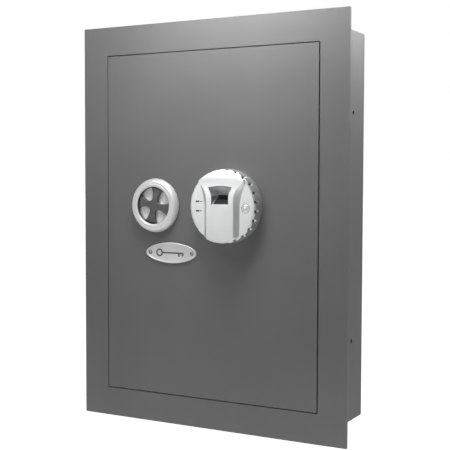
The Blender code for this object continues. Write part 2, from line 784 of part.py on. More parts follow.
def make_scanner(door, button):
    centre = (UNIT_X, FRONT, UNIT_Z)
    out = (0, -1, 0)
    ring_outline = notched_circle(UNIT_X, UNIT_Z, UNIT_R, 0.002, NOTCHES)
    ring_body = prism(ring_outline, "Y", FRONT - 0.0182, FRONT - TOUCH)
    ring = piece("scanner_ring", ring_body, "silver_plastic", door)
    combine(ring, rod(centre, out, FACE_R + TOUCH, -0.01, 0.03, 64), "cut_ring_inside")

    low = 0.0005
    profile = [
        (0, low),
        (FACE_R, low),
        (FACE_R, FACE_H - 0.0012),
        (FACE_R - 0.0012, FACE_H),
        (0, FACE_H),
    ]
    cover = piece("scanner_cover", turned(profile, centre, out, 64), "silver_plastic", door)
    combine(cover, hood_solid(), "join_hood", "UNION")
    # The hood's top slopes back to the disc's upper edge, and everything ends at the disc's edge.
    slope = [
        (FRONT - HOOD_H - 0.001, UNIT_Z + 0.0270),
        (FRONT - HOOD_H, UNIT_Z + 0.0285),
        (FRONT - FACE_H + 0.0008, UNIT_Z + FACE_R),
        (FRONT - FACE_H + 0.0008, UNIT_Z + 0.060),
        (FRONT - HOOD_H - 0.001, UNIT_Z + 0.060),
    ]
    combine(cover, prism(slope, "X", UNIT_X - 0.06, UNIT_X + 0.06), "cut_top_slope")
    trim = rod(centre, out, FACE_R, -0.001, 0.03, 64)
    combine(cover, trim, "keep_inside_edge", "INTERSECT")
    pocket = [
        (FRONT - HOOD_H - 0.001, UNIT_Z + RAMP_START - 0.00073),
        (FRONT - RAMP_FLOOR, UNIT_Z + RAMP_END),
        (FRONT - RAMP_FLOOR, UNIT_Z + RAMP_END + 0.0015),
        (FRONT - HOOD_H - 0.001, UNIT_Z + WINDOW_TOP),
    ]
    combine(cover, prism(pocket, "X", UNIT_X - WINDOW_HALF_W, UNIT_X + WINDOW_HALF_W), "cut_finger_pocket")
    recess = slab_on_ramp(GLASS_W + 0.0006, GLASS_L + 0.0006, 0.003, -GLASS_T - TOUCH)
    combine(cover, recess, "cut_glass_recess")
    piece("fingerprint_glass", slab_on_ramp(GLASS_W, GLASS_L, -0.0001, -GLASS_T), "sensor_glass", door)

    well = rod((UNIT_X + BUTTON_X, FRONT, UNIT_Z + BUTTON_Z), out, BUTTON_R + RUN, 0.0115, 0.03, 24)
    combine(cover, well, "drill_button_well")
    press = [(0, 0.0135), (BUTTON_R, 0.0135), (BUTTON_R, 0.0192), (BUTTON_R - 0.0008, 0.0198), (0, 0.0194)]
    cap = turned(press, (UNIT_X + BUTTON_X, FRONT, UNIT_Z + BUTTON_Z), out, 24)
    piece("scan_button", cap, "silver_plastic", button)

    for name, look, height in (("ready", "green_lens", 0.006), ("alert", "red_lens", -0.006)):
        x = UNIT_X - 0.0350
        z = UNIT_Z + height
        slot = rounded_rectangle(0.0062, 0.0024, 0.0011, 3, x, z)
        combine(cover, prism(slot, "Y", FRONT - 0.03, FRONT - 0.0165), "cut_light_" + name)
        lens = rounded_rectangle(0.0056, 0.0018, 0.0008, 3, x, z)
        piece("status_light_" + name, prism(lens, "Y", FRONT - 0.0189, FRONT - 0.0168), look, door)


def make_electronics(door, cover_slide, program):
    board = block((UNIT_X - 0.030, 0.0050, UNIT_Z - 0.030), (UNIT_X + 0.046, 0.0066, UNIT_Z + 0.028))
    piece("circuit_board", board, "circuit_green", door)

    half_w = CELLS * CELL_PITCH / 2 + 0.001
    half_h = 0.027
    front = 0.0118
    rear = COVER_Y - TOUCH
    wall = BATTERY_WALL
    outer = block(
        (BATTERY_X - half_w - wall, front, BATTERY_Z - half_h - wall),
        (BATTERY_X + half_w + wall, rear, BATTERY_Z + half_h + wall),
    )
    case = piece("battery_case", outer, "black_plastic", door)
    hollow = block(
        (BATTERY_X - half_w, front + wall, BATTERY_Z - half_h),
        (BATTERY_X + half_w, rear + 0.01, BATTERY_Z + half_h),
    )
    combine(case, hollow, "cut_battery_hollow")
    cell_y = front + wall + TOUCH + CELL_R
    for i in range(CELLS):
        x = BATTERY_X + (i - (CELLS - 1) / 2) * CELL_PITCH
        sign = 1 if i % 2 == 0 else -1
        half = CELL_L / 2
        profile = [
            (0, -half),
            (CELL_R, -half),
            (CELL_R, half - 0.0012),
            (0.0027, half - 0.0012),
            (0.0027, half),
            (0, half),
        ]
        cell = turned(profile, (x, cell_y, BATTERY_Z), (0, 0, sign), 24)
        piece("battery_%d" % (i + 1), cell, "cell_jacket", door)
    slide_y = COVER_BACK + TOUCH
    lid = block(
        (BATTERY_X - half_w, slide_y, BATTERY_Z - half_h - 0.002),
        (BATTERY_X + half_w, slide_y + 0.0018, BATTERY_Z + half_h + 0.002),
    )
    lid_piece = piece("battery_cover", lid, "black_plastic", cover_slide)
    grip = rectangle(BATTERY_X - 0.010, BATTERY_Z + 0.020, BATTERY_X + 0.010, BATTERY_Z + 0.023)
    combine(lid_piece, prism(grip, "Y", 0.0330, 0.0352), "join_lid_grip", "UNION")

    press = rod((BATTERY_X, 0, -0.035), (0, 1, 0), 0.004, 0.0265, COVER_BACK + 0.0016, 20, 0.0004)
    piece("program_button", press, "black_plastic", program)
    switch = block((BATTERY_X - 0.006, 0.0180, -0.041), (BATTERY_X + 0.006, 0.0245, -0.029))
    piece("program_switch", switch, "black_plastic", door)

    top = BATTERY_Z + half_h + wall
    battery_route = (
        (0.070, 0.0150, top + 0.0003),
        (0.070, 0.0145, top + 0.010),
        (0.066, 0.0120, top + 0.025),
        (0.060, 0.0080, top + 0.040),
        (0.058, 0.0058, UNIT_Z - 0.0345),
        (0.058, 0.0058, UNIT_Z - 0.0303),
    )
    cable("battery_lead", battery_route, 0.0013, "cable_jacket", door)
    right = SOLENOID_X + 0.0115
    solenoid_route = (
        (right + 0.0003, 0.0140, -0.016),
        (right + 0.008, 0.0140, -0.016),
        (-0.055, 0.0120, -0.010),
        (-0.030, 0.0080, 0.000),
        (-0.010, 0.0060, 0.006),
        (UNIT_X - 0.0303, 0.0058, 0.008),
    )
    cable("solenoid_lead", solenoid_route, 0.0011, "cable_jacket", door)


def main():
    for old in list(bpy.data.objects):
        bpy.data.objects.remove(old)

    door = holder("joint_door", (HINGE_X, HINGE_Y, 0))
    knob = holder("joint_knob", (KNOB_X, 0, KNOB_Z), door)
    carriage = holder("joint_bolts", (BAR_X, BOLT_Y, 0), door)
    plunger = holder("joint_plunger", (SOLENOID_X, SOLENOID_Y, 0), door)
    plug = holder("joint_key_lock", (PLATE_X, 0, PLATE_Z), door)
    button = holder("joint_scan_button", (UNIT_X + BUTTON_X, FRONT, UNIT_Z + BUTTON_Z), door)
    program = holder("joint_program_button", (BATTERY_X, COVER_BACK, -0.035), door)
    cover_slide = holder("joint_battery_cover", (BATTERY_X, COVER_BACK, BATTERY_Z), door)

    make_shell()
    make_latch_side()
    make_hinge_brackets()
    make_shelves()
    make_door(door)
    make_door_hinges(door)
    make_bolts(carriage)
    make_bolt_guides(door)
    make_knob(door, knob)
    make_solenoid(door, plunger)
    make_key_lock(door, plug)
    make_scanner(door, button)
    make_electronics(door, cover_slide, program)


main()
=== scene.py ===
"""Looks of the wall safe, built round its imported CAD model.

Metres. The front faces -Y. A height in this script is a distance in front of the door's face, an outline
is a list of (across, up) points, and a profile is a list of (radius, height) points.
"""

import json
import math

import bmesh
import bpy
from mathutils import Matrix, Vector


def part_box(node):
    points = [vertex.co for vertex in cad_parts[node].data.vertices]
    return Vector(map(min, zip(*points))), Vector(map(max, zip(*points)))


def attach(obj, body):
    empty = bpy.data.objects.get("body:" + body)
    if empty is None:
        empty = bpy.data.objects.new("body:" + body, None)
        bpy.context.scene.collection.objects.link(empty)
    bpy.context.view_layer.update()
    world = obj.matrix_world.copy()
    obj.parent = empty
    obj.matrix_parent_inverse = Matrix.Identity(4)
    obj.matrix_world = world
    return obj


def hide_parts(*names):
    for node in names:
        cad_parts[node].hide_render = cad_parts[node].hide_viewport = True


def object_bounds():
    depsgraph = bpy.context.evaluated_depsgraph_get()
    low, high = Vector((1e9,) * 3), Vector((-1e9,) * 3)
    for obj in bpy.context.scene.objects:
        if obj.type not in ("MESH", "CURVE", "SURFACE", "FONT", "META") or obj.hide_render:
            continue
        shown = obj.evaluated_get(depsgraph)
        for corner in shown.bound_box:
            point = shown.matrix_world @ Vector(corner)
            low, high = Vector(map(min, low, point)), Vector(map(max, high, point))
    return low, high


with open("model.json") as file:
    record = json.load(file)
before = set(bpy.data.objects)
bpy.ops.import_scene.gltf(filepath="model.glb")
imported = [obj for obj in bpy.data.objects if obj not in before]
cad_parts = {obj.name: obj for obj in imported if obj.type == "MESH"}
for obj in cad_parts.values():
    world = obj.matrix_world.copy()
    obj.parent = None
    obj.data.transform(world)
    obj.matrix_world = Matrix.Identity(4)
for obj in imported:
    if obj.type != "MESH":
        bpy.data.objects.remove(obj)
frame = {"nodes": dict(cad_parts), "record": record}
cad_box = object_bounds()
NODES = frame["nodes"]
RECORD = frame["record"]

# ---- places taken from the frame
door_low, door_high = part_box("door_plate")
FRONT = door_low.y
ring_low, ring_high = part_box("scanner_ring")
UNIT_X = (ring_low.x + ring_high.x) / 2
UNIT_Z = (ring_low.z + ring_high.z) / 2
RING_R = (ring_high.x - ring_low.x) / 2
knob_low, knob_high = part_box("knob_body")
KNOB_X = (knob_low.x + knob_high.x) / 2
KNOB_Z = (knob_low.z + knob_high.z) / 2
plate_low, plate_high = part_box("nameplate")
PLATE_X = (plate_low.x + plate_high.x) / 2
PLATE_Z = (plate_low.z + plate_high.z) / 2
glass_low, glass_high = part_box("fingerprint_glass")

# ---- the camera's direction in degrees, its distance and its lens
AZIMUTH = 28.69
ELEVATION = 2.86
ROLL = 0.16
DISTANCE = 1.218
AIM = Vector((0.0246, 0.0, 0.0017))
LENS_MM = 76.45
SENSOR_MM = 36.0

# ---- studio light
# strength of the world behind the safe, and how far back a direction must lean to reach it
WORLD_BEHIND = 0.68
BEHIND_SPAN = (0.60, 0.74)
# the same for the dim world in front, which is lightest high on the left
WORLD_FRONT = (0.02, 0.06)
FRONT_SPAN = (-0.4, 1.0)
FRONT_GLOW_AXIS = Vector((-0.45, -0.55, 0.70)).normalized()
# the floor's own light rises over this span of Y, and the camera itself sees FLOOR_SEEN
FLOOR_GLOW = (0.16, 0.60)
FLOOR_GLOW_SPAN = (-0.32, 0.0)
FLOOR_SEEN = 0.96
FLOOR_HALF = 14.0
FLOOR_GAP = 0.002
# name, place, aim, size and power
LAMPS = [
    ("key", (-0.25, -0.50, 0.60), (0.03, 0.0, 0.03), (0.30, 0.30), 2.35),
    ("top", (0.05, -0.16, 0.42), (0.05, 0.0, 0.19), (0.15, 0.15), 2.15),
    ("sheen", (-0.90, -1.50, 0.26), (0.0, 0.0, 0.10), (0.50, 0.50), 2.1),
    ("side_top", (0.30, 0.06, 0.34), (0.175, 0.05, 0.26), (0.06, 0.06), 1.08),
    ("fill", (0.25, -0.90, 0.05), (-0.05, 0.0, 0.02), (0.20, 0.30), 0.45),
]

# ---- rounded edges of the CAD nodes
EDGE_WIDTH = {
    "front_flange": 0.0006, "door_plate": 0.0006, "box_shell": 0.0006, "back_panel": 0.0006,
    "inner_cover": 0.0006, "mechanism_rim": 0.0006, "battery_cover": 0.0004, "battery_case": 0.0004,
}
OTHER_EDGE_WIDTH = 0.0002
EDGE_STEPS = 2
EDGE_ANGLE = math.radians(40)


def make_camera():
    azimuth = math.radians(AZIMUTH)
    elevation = math.radians(ELEVATION)
    back = Vector((
        math.sin(azimuth) * math.cos(elevation),
        -math.cos(azimuth) * math.cos(elevation),
        math.sin(elevation),
    ))
    right = Vector((math.cos(azimuth), math.sin(azimuth), 0))
    right = Matrix.Rotation(math.radians(ROLL), 3, back) @ right
    up = back.cross(right)
    data = bpy.data.cameras.new("camera")
    data.lens = LENS_MM
    data.sensor_width = SENSOR_MM
    data.sensor_fit = "HORIZONTAL"
    camera = bpy.data.objects.new("camera", data)
    bpy.context.scene.collection.objects.link(camera)
    turn = Matrix((right, up, back)).transposed()
    camera.matrix_world = Matrix.Translation(AIM + back * DISTANCE) @ turn.to_4x4()
    bpy.context.scene.camera = camera


# ---------------------------------------------------------------- materials


class Look:
    """A material under construction: its node tree and its Principled shader."""

    def __init__(self, name):
        self.material = bpy.data.materials.new(name)
        self.material.use_nodes = True
        self.tree = self.material.node_tree
        self.shader = self.tree.nodes["Principled BSDF"]
        self.coords = self.node("ShaderNodeTexCoord").outputs["Object"]

    def node(self, kind, **settings):
        made = self.tree.nodes.new(kind)
        for key, value in settings.items():
            setattr(made, key, value)
        return made

    def link(self, source, target):
        self.tree.links.new(source, target)

    def set(self, **values):
        """Fixed values, set on the shader's own sockets."""
        for key, value in values.items():
            self.shader.inputs[key.replace("_", " ")].default_value = value

    def noise(self, scale, detail=2.0, stretch=(1, 1, 1), roughness=0.5):
        mapping = self.node("ShaderNodeMapping")
        mapping.inputs["Scale"].default_value = stretch
        self.link(self.coords, mapping.inputs["Vector"])
        texture = self.node("ShaderNodeTexNoise")
        texture.inputs["Scale"].default_value = scale
        texture.inputs["Detail"].default_value = detail
        texture.inputs["Roughness"].default_value = roughness
        self.link(mapping.outputs["Vector"], texture.inputs["Vector"])
        return texture.outputs["Fac"]

    def ramp(self, source, low, high, start=0.3, end=0.7):
        """Map a 0 to 1 value onto a range of values."""
        made = self.node("ShaderNodeMapRange")
        made.inputs["From Min"].default_value = start
        made.inputs["From Max"].default_value = end
        made.inputs["To Min"].default_value = low
        made.inputs["To Max"].default_value = high
        self.link(source, made.inputs["Value"])
        return made.outputs["Result"]

    def tint(self, source, low, high, start=0.3, end=0.7):
        """Colours from low to high as source goes from start to end."""
        made = self.node("ShaderNodeValToRGB")
        made.color_ramp.elements[0].position = start
        made.color_ramp.elements[0].color = (*low, 1)
        made.color_ramp.elements[1].position = end
        made.color_ramp.elements[1].color = (*high, 1)
        self.link(source, made.inputs["Fac"])
        return made.outputs["Color"]

    def color(self, source):
        self.link(source, self.shader.inputs["Base Color"])

    def rough(self, source):
        self.link(source, self.shader.inputs["Roughness"])

    def bumps(self, *layers):
        """Each layer is a height, its strength and its depth in metres."""
        below = None
        for source, strength, depth in layers:
            bump = self.node("ShaderNodeBump")
            bump.inputs["Strength"].default_value = strength
            bump.inputs["Distance"].default_value = depth
            self.link(source, bump.inputs["Height"])
            if below:
                self.link(below, bump.inputs["Normal"])
            below = bump.outputs["Normal"]
        self.link(below, self.shader.inputs["Normal"])


def grey(value):
    """A grey with a trace of blue."""
    return (value, value, value * 1.01)


def painted_steel():
    """Dark grey powder coat: fine grain, faint orange peel and slight colour drift."""
    look = Look("painted_steel")
    look.set(IOR=1.33)
    grain = look.noise(1500, 3)
    peel = look.noise(230, 2)
    drift = look.noise(9, 3)
    look.color(look.tint(drift, grey(0.118), grey(0.130)))
    look.rough(look.ramp(grain, 0.36, 0.48))
    look.bumps((peel, 0.10, 0.0002), (grain, 0.18, 0.0001))
    return look.material


def zinc_steel():
    """Zinc plated pressings: mottled spangle and soft shine."""
    look = Look("zinc_steel")
    look.set(Metallic=0.95)
    mottle = look.noise(160, 4)
    fine = look.noise(1200, 2)
    look.color(look.tint(mottle, (0.42, 0.43, 0.44), (0.56, 0.56, 0.55)))
    look.rough(look.ramp(mottle, 0.30, 0.48))
    look.bumps((fine, 0.12, 0.0001))
    return look.material


def turned_steel(name, stretch):
    """Bright steel with fine machining lines across the given directions."""
    look = Look(name)
    look.set(Metallic=1.0)
    lines = look.noise(900, 3, stretch)
    smear = look.noise(60, 3)
    look.color(look.tint(smear, (0.50, 0.50, 0.51), (0.62, 0.62, 0.62)))
    look.rough(look.ramp(lines, 0.22, 0.36))
    look.bumps((lines, 0.15, 0.0001))
    return look.material


def satin_chrome():
    """Bead-blasted bright plating with a soft, even shine."""
    look = Look("satin_chrome")
    look.set(Metallic=0.5)
    smear = look.noise(120, 3)
    blast = look.noise(2600, 2)
    look.color(look.tint(smear, grey(0.70), grey(0.76)))
    look.rough(look.ramp(blast, 0.40, 0.50))
    look.bumps((blast, 0.10, 0.00008))
    return look.material


def brushed_plate():
    """Satin plating with fine brush lines from left to right."""
    look = Look("brushed_plate")
    look.set(Metallic=0.5)
    lines = look.noise(1400, 3, (0.04, 1, 1))
    smear = look.noise(70, 3)
    look.color(look.tint(smear, grey(0.59), grey(0.65)))
    look.rough(look.ramp(lines, 0.36, 0.50))
    look.bumps((lines, 0.14, 0.00008))
    return look.material


def silver_plastic():
    """Moulded plastic with silver lacquer: a fine flake under a satin coat."""
    look = Look("silver_plastic")
    look.set(Metallic=0.85, IOR=1.46)
    flake = look.noise(3200, 2)
    drift = look.noise(45, 3)
    look.color(look.tint(drift, (0.82, 0.825, 0.83), (0.86, 0.865, 0.87)))
    look.rough(look.ramp(flake, 0.30, 0.40))
    look.bumps((flake, 0.08, 0.00006))
    return look.material


def moulded_plastic(name, low, high, rough_low, rough_high):
    """Plain moulded plastic with a spark-eroded texture."""
    look = Look(name)
    look.set(IOR=1.46)
    spark = look.noise(1700, 3)
    drift = look.noise(50, 2)
    look.color(look.tint(drift, low, high))
    look.rough(look.ramp(spark, rough_low, rough_high))
    look.bumps((spark, 0.2, 0.0001))
    return look.material


def sensor_glass():
    """Dark polished glass with the faint smears that fingers leave."""
    look = Look("sensor_glass")
    look.set(IOR=1.52, Coat_Weight=0.4, Coat_Roughness=0.03)
    smear = look.noise(420, 4)
    look.color(look.tint(smear, (0.006, 0.006, 0.008), (0.020, 0.020, 0.026)))
    look.rough(look.ramp(smear, 0.08, 0.26))
    return look.material


def lens(name, low, high):
    """A small diffused lens, unlit."""
    look = Look(name)
    look.set(IOR=1.49, Coat_Weight=0.3)
    cloud = look.noise(900, 2)
    look.color(look.tint(cloud, low, high))
    look.rough(look.ramp(cloud, 0.15, 0.3))
    return look.material


def circuit_green():
    """Solder mask with copper tracks just showing through as lighter lines."""
    look = Look("circuit_green")
    look.set(IOR=1.5, Coat_Weight=0.3)
    tracks = look.node("ShaderNodeTexBrick")
    tracks.inputs["Scale"].default_value = 260
    tracks.inputs["Mortar Size"].default_value = 0.06
    tracks.inputs["Color1"].default_value = (0.012, 0.120, 0.045, 1)
    tracks.inputs["Color2"].default_value = (0.016, 0.145, 0.055, 1)
    tracks.inputs["Mortar"].default_value = (0.05, 0.24, 0.09, 1)
    turn = look.node("ShaderNodeMapping")
    turn.inputs["Rotation"].default_value = (math.pi / 2, 0, 0)
    look.link(look.coords, turn.inputs["Vector"])
    look.link(turn.outputs["Vector"], tracks.inputs["Vector"])
    look.color(tracks.outputs["Color"])
    look.rough(look.ramp(tracks.outputs["Fac"], 0.28, 0.42, 0, 1))
    return look.material


def copper_coil():
    """Enamelled wire wound round the coil."""
    look = Look("copper_coil")
    look.set(Metallic=0.9)
    wave = look.node("ShaderNodeTexWave", wave_type="BANDS", bands_direction="Z")
    wave.inputs["Scale"].default_value = 420
    look.link(look.coords, wave.inputs["Vector"])
    look.color(look.tint(wave.outputs["Fac"], (0.20, 0.07, 0.02), (0.60, 0.26, 0.10), 0.1, 0.9))
    look.rough(look.ramp(wave.outputs["Fac"], 0.25, 0.45, 0, 1))
    look.bumps((wave.outputs["Fac"], 0.8, 0.0003))
    return look.material


def cell_jacket():
    """A plain two-colour cell jacket: dark, with a light band near one end."""
    look = Look("cell_jacket")
    look.set(Metallic=0.3, Coat_Weight=0.4, Coat_Roughness=0.1)
    low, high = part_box("battery_1")
    split = look.node("ShaderNodeSeparateXYZ")
    look.link(look.coords, split.inputs["Vector"])
    band = look.ramp(split.outputs["Z"], 0, 1, low.z, high.z)
    look.color(look.tint(band, (0.015, 0.017, 0.022), (0.55, 0.40, 0.10), 0.70, 0.71))
    wear = look.noise(300, 3)
    look.rough(look.ramp(wear, 0.2, 0.35))
    return look.material


def brass():
    """Drawn brass with fine lines."""
    look = Look("brass")
    look.set(Metallic=1.0)
    lines = look.noise(1000, 3, (1, 0.2, 1))
    look.color(look.tint(lines, (0.52, 0.37, 0.14), (0.66, 0.49, 0.21)))
    look.rough(look.ramp(lines, 0.24, 0.38))
    look.bumps((lines, 0.15, 0.0001))
    return look.material


def cable_jacket():
    """Matt black vinyl."""
    look = Look("cable_jacket")
    look.set(IOR=1.5)
    fine = look.noise(1500, 3)
    look.color(look.tint(fine, (0.012, 0.012, 0.013), (0.024, 0.024, 0.026)))
    look.rough(look.ramp(fine, 0.45, 0.65))
    look.bumps((fine, 0.2, 0.0001))
    return look.material


def make_materials():
    return {
        "painted_steel": painted_steel(),
        "zinc_steel": zinc_steel(),
        "bare_steel": turned_steel("bare_steel", (1, 1, 0.15)),
        "satin_chrome": satin_chrome(),
        "silver_plastic": silver_plastic(),
        "grey_plastic": moulded_plastic("grey_plastic", grey(0.075), grey(0.095), 0.34, 0.46),
        "black_plastic": moulded_plastic("black_plastic", grey(0.012), grey(0.020), 0.42, 0.60),
        "sensor_glass": sensor_glass(),
        "red_lens": lens("red_lens", (0.060, 0.022, 0.020), (0.090, 0.030, 0.026)),
        "green_lens": lens("green_lens", (0.022, 0.055, 0.026), (0.030, 0.080, 0.036)),
        "circuit_green": circuit_green(),
        "copper_coil": copper_coil(),
        "cell_jacket": cell_jacket(),
        "brass": brass(),
        "cable_jacket": cable_jacket(),
    }


# ---------------------------------------------------------------- shape helpers


def clamp(t):
    """Kept between 0 and 1."""
    return min(1.0, max(0.0, t))


def smooth(t):
    """A soft step from 0 to 1."""
    t = clamp(t)
    return t * t * (3 - 2 * t)


def edge_drop(over, radius):
    """How far a rounded edge has fallen, with over going from 0 at its start to 1 at its end."""
    return radius * (1 - math.sqrt(1 - over * over))


def spread(low, high, count):
    """Evenly spaced values from low up to, but without, high."""
    return [low + (high - low) * i / count for i in range(count)]


def circle(radius, count):
    points = []
    for i in range(count):
        angle = 2 * math.pi * i / count
        points.append((radius * math.cos(angle), radius * math.sin(angle)))
    return points


def rectangle(half_w, half_h):
    return [(-half_w, -half_h), (half_w, -half_h), (half_w, half_h), (-half_w, half_h)]


def oval(half_w, half_h, count=120, power=1.85):
    """A superellipse. Its ends are a little more pointed than an ellipse's."""
    points = []
    for i in range(count):
        angle = 2 * math.pi * (i + 0.5) / count
        across = math.cos(angle)
        up = math.sin(angle)
        u = math.copysign(abs(across) ** (2 / power), across)
        v = math.copysign(abs(up) ** (2 / power), up)
        points.append((half_w * u, half_h * v))
    return points


def capsule(half_w, radius, count=24):
    """A bar with round ends."""
    points = []
    for u, v in circle(radius, count):
        side = half_w - radius if u > 0 else radius - half_w
        points.append((side + u, v))
    return points


def arc(centre, radius, start, end, steps):
    """Points on an arc, from one angle in degrees to another."""
    points = []
    for i in range(steps + 1):
        angle = math.radians(start + (end - start) * i / steps)
        points.append((centre[0] + radius * math.cos(angle), centre[1] + radius * math.sin(angle)))
    return points


def at(x, z, height):
    """A point over the door's face."""
    return Vector((x, FRONT - height, z))


def loop_at(outline, x, z, height):
    """An outline set round a place over the door's face."""
    return [at(x + u, z + v, height) for u, v in outline]


def inset_loop(outline, inset, x, z, height):
    """The same, with an anticlockwise outline moved inwards along its own normals."""
    count = len(outline)
    moved = []
    for i in range(count):
        before = Vector(outline[i - 1])
        here = Vector(outline[i])
        after = Vector(outline[(i + 1) % count])
        along = ((after - here).normalized() + (here - before).normalized()).normalized()
        moved.append(here + Vector((-along.y, along.x)) * inset)
    return loop_at(moved, x, z, height)


def lofted(loops, closed=False):
    """Faces that join equal loops one after another. The end loops are filled, or joined if closed."""
    count = len(loops[0])
    verts = [p for loop in loops for p in loop]
    faces = []
    for k in range(len(loops) if closed else len(loops) - 1):
        here = k * count
        there = (k + 1) % len(loops) * count
        for i in range(count):
            j = (i + 1) % count
            faces.append((here + i, here + j, there + j, there + i))
    if not closed:
        faces.append(tuple(range(count)))
        faces.append(tuple(range(len(verts) - count, len(verts))))
    return verts, faces


def slab(outline, x, z, low, high):
    """An outline filled from one height to another."""
    return lofted([loop_at(outline, x, z, height) for height in (low, high)])


def lathe(profile, x, z, segments):
    """A profile turned about an axis that stands out from the door."""
    verts = []
    rings = []
    for radius, height in profile:
        ring = loop_at(circle(radius, segments), x, z, height) if radius else [at(x, z, height)]
        rings.append(range(len(verts), len(verts) + len(ring)))
        verts += ring
    faces = []
    for first, second in zip(rings, rings[1:]):
        for i in range(segments):
            j = (i + 1) % segments
            near = (first[i % len(first)], first[j % len(first)])
            far = (second[j % len(second)], second[i % len(second)])
            faces.append(tuple(dict.fromkeys(near + far)))
    return verts, faces


def grid_faces(grid):
    """Faces between neighbouring rows of vertex numbers."""
    faces = []
    for lower, upper in zip(grid, grid[1:]):
        for i in range(len(lower) - 1):
            faces.append((lower[i], lower[i + 1], upper[i + 1], upper[i]))
    return faces


def add_piece(name, verts, faces, look, body, stands_for=(), sharp_degrees=35):
    """A closed mesh in the frame, in a record slot's finish, riding on a body."""
    mesh = bpy.data.meshes.new(name)
    mesh.from_pydata([tuple(v) for v in verts], [], faces)
    bm = bmesh.new()
    bm.from_mesh(mesh)
    bmesh.ops.recalc_face_normals(bm, faces=bm.faces)
    bm.to_mesh(mesh)
    bm.free()
    return finish_piece(name, mesh, look, body, stands_for, sharp_degrees)


def add_skirted_piece(name, verts, faces, level, look, body, stands_for, sharp_degrees):
    """A piece made from an open surface: weld it, drop a skirt from its edge and close its back."""
    mesh = bpy.data.meshes.new(name)
    mesh.from_pydata([tuple(v) for v in verts], [], faces)
    bm = bmesh.new()
    bm.from_mesh(mesh)
    bmesh.ops.remove_doubles(bm, verts=bm.verts, dist=0.00001)
    bmesh.ops.dissolve_degenerate(bm, dist=0.000005, edges=bm.edges)
    rim = [edge for edge in bm.edges if edge.is_boundary]
    grown = bmesh.ops.extrude_edge_only(bm, edges=rim)["geom"]
    for item in grown:
        if isinstance(item, bmesh.types.BMVert):
            item.co.y = FRONT - level
    bottom = [item for item in grown if isinstance(item, bmesh.types.BMEdge)]
    bmesh.ops.holes_fill(bm, edges=bottom, sides=0)
    bmesh.ops.recalc_face_normals(bm, faces=bm.faces)
    bm.to_mesh(mesh)
    bm.free()
    return finish_piece(name, mesh, look, body, stands_for, sharp_degrees)


def finish_piece(name, mesh, look, body, stands_for, sharp_degrees):
    mesh.materials.append(MATERIALS[look])
    piece = bpy.data.objects.new(name, mesh)
    bpy.context.scene.collection.objects.link(piece)
    mesh.shade_smooth()
    mesh.set_sharp_from_angle(angle=math.radians(sharp_degrees))
    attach(piece, body)
    if stands_for:
        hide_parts(*stands_for)
    return piece


def soften(node, width):
    """Round a CAD node's sharp edges a little, as bending and painting do."""
    bevel = NODES[node].modifiers.new("soft_edges", "BEVEL")
    bevel.width = width
    bevel.segments = EDGE_STEPS
    bevel.limit_method = "ANGLE"
    bevel.angle_limit = EDGE_ANGLE
    bevel.harden_normals = True


# ---------------------------------------------------------------- the knob

KNOB_SEGMENTS = 160
DISH_R = 0.0245
DISH_RINGS = 34
DISH_FLOOR = 0.0031
DISH_LOW = 0.0019
SCOOP_AT = 0.0153
SCOOP_FLAT = 0.0015
SCOOP_R = 0.0105
# from the dish's wall, over the ring with its groove, down the outside and along the back
KNOB_RIM = [
    (DISH_R, 0.0035), (DISH_R, 0.0080), *arc((DISH_R + 0.0006, 0.0080), 0.0006, 180, 90, 4),
    (0.0256, 0.0092), (0.0270, 0.00935), (0.0284, 0.00940), (0.0287, 0.00915), (0.0291, 0.00915),
    (0.0294, 0.00940), (0.0306, 0.00935), (0.0316, 0.0091), (0.0324, 0.0085), (0.0333, 0.0074),
    (0.0342, 0.0058), (0.0350, 0.0038), (0.0354, 0.0022), (0.0355, 0.0012), (0.0353, 0.0005),
    (0.0348, 0.0004), (0.0043, 0.0004), (0.0043, 0.0018),
]

GRIP_LEAN = math.radians(13)
GRIP_R = 0.0227
GRIP_TOP = 0.0073
GRIP_DROP = 0.0010
GRIP_ROUND = 0.0007
GRIP_BASE = 0.0017
# half an arm's width, what it gains towards the rim, and the round corner between two arms
ARM_HALF = 0.0039
ARM_FLARE = 0.0046
ARM_FLARE_POWER = 1.6
ARM_CORNER = 0.0050
ARM_CORNER_END = ARM_HALF + ARM_CORNER
ARM_START = ARM_HALF + ARM_CORNER * (1 - math.sqrt(0.5))
# the last part of an arm, over which its rows bend round to the knob's circle
ARM_BEND = 0.0035
ARM_ROWS = [0.0, 0.4 * ARM_START, 0.8 * ARM_START, ARM_START]
ARM_ROWS += [ARM_START + 0.0004, ARM_START + 0.0012, ARM_START + 0.0024, ARM_CORNER_END]
ARM_ROWS += spread(ARM_CORNER_END + 0.002, GRIP_R - 0.0018, 7)
ARM_ROWS += [GRIP_R - 0.0018, GRIP_R - 0.0010, GRIP_R - 0.0005, GRIP_R - 0.0002, GRIP_R]
ARM_COLUMNS = [-1, -0.97, -0.9, -0.75, -0.5, -0.2, 0.2, 0.5, 0.75, 0.9, 0.97, 1]
# the grip's plastic carries on as a thin liner up the dish's wall
LINER = (DISH_R - 0.0004, DISH_R - 0.0001)
LINER_HEIGHTS = (0.0030, 0.0079)
# a black piece between each arm's end and the liner: painted shade for the gap there
ARM_END_SHADE = (GRIP_R - 0.0006, LINER[0])
ARM_END_SHADE_HEIGHTS = (0.0018, 0.0052)


def scoop_height(x, z):
    """The dish's floor, with four round scoops between the arms of the grip."""
    height = DISH_FLOOR
    for i in range(4):
        angle = math.pi / 4 + math.pi / 2 * i - GRIP_LEAN
        away = math.hypot(x - SCOOP_AT * math.cos(angle), z - SCOOP_AT * math.sin(angle))
        climb = smooth((away - SCOOP_FLAT) / (SCOOP_R - SCOOP_FLAT))
        height = min(height, DISH_LOW + (DISH_FLOOR - DISH_LOW) * climb)
    return height


